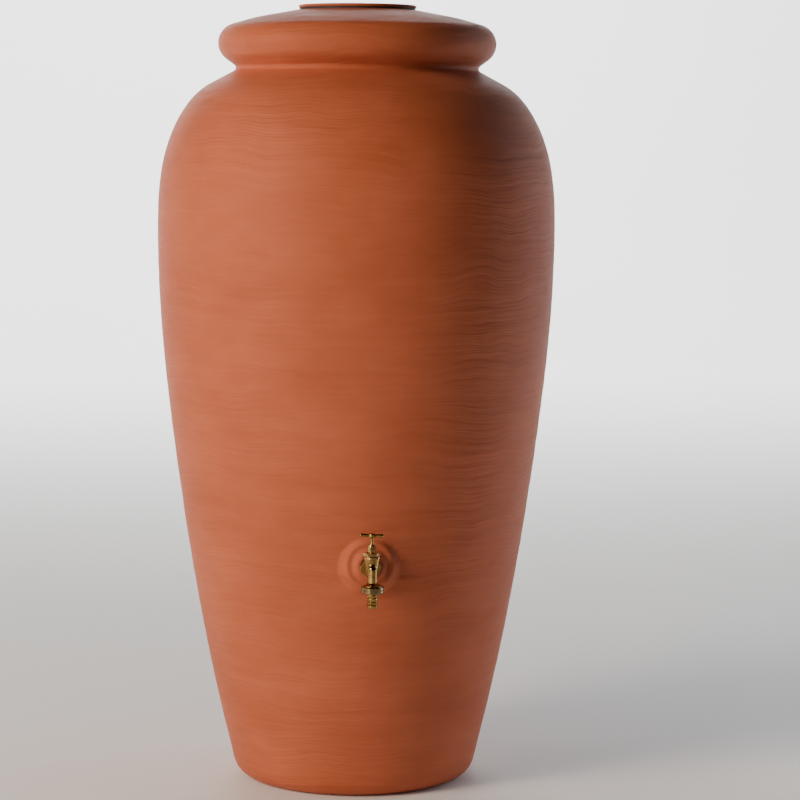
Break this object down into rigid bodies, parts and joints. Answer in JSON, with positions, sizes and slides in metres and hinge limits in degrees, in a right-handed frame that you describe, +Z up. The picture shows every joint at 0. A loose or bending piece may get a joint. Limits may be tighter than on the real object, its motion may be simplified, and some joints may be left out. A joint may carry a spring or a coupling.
{
  "type": "rain barrel",
  "caption": "Jar-shaped upright rain barrel with a rolled collar, a lift-out lid over the mouth, and a bib tap with a hose tail low on its flank.",
  "frame": {"origin": "middle of the flat base, on the ground", "axes": "+Z up along the jar's axis, the tap faces -Y"},
  "size_m": [0.6526, 0.6768, 1.2723],
  "materials": {
    "terracotta": "rotomoulded polyethylene, matte terracotta with fine brushed lines",
    "brass": "polished brass",
    "black_rubber": "black EPDM",
    "fibre": "red vulcanised fibre",
    "packing": "graphited packing"
  },
  "bodies": {
    "barrel": {"barrel_shell": "terracotta", "tap_insert": "brass", "inlet_washer": "black_rubber", "inlet_locknut": "brass", "tap_body": "brass", "bonnet_gasket": "fibre", "bonnet": "brass", "gland_packing": "packing", "gland_nut": "brass"},
    "lid": {"lid": "terracotta", "lid_gasket": "black_rubber"},
    "valve": {"jumper": "brass", "jumper_washer": "black_rubber", "jumper_nut": "brass"},
    "handle": {"spindle": "brass", "tee_bar": "brass"},
    "outlet": {"hose_tail": "brass", "tail_washer": "black_rubber"},
    "union_nut": {"union_nut": "brass"}
  },
  "joints": [
    {"name": "lid_lift", "type": "slide", "parent": "barrel", "child": "lid", "axis": [0, 0, 1], "range_m": [0, 0.15]},
    {"name": "valve_lift", "type": "slide", "parent": "barrel", "child": "valve", "axis": [0, 0, 1], "range_m": [0, 0.005]},
    {"name": "handle_turn", "type": "hinge", "parent": "valve", "child": "handle", "pos_m": [0, -0.3215, 0.4475], "axis": [0, 0, 1], "range_deg": [0, 900]},
    {"name": "outlet_drop", "type": "slide", "parent": "barrel", "child": "outlet", "axis": [0, 0, -1], "range_m": [0, 0.00363]},
    {"name": "union_nut_turn", "type": "hinge", "parent": "outlet", "child": "union_nut", "pos_m": [0, -0.3325, 0.3645], "axis": [0, 0, -1], "range_deg": [0, 720]}
  ],
  "couplings": [
    {"joint": "handle_turn", "follows": "valve_lift", "rad_per_m": 3141.6},
    {"joint": "union_nut_turn", "follows": "outlet_drop", "rad_per_m": 3463.7}
  ]
}
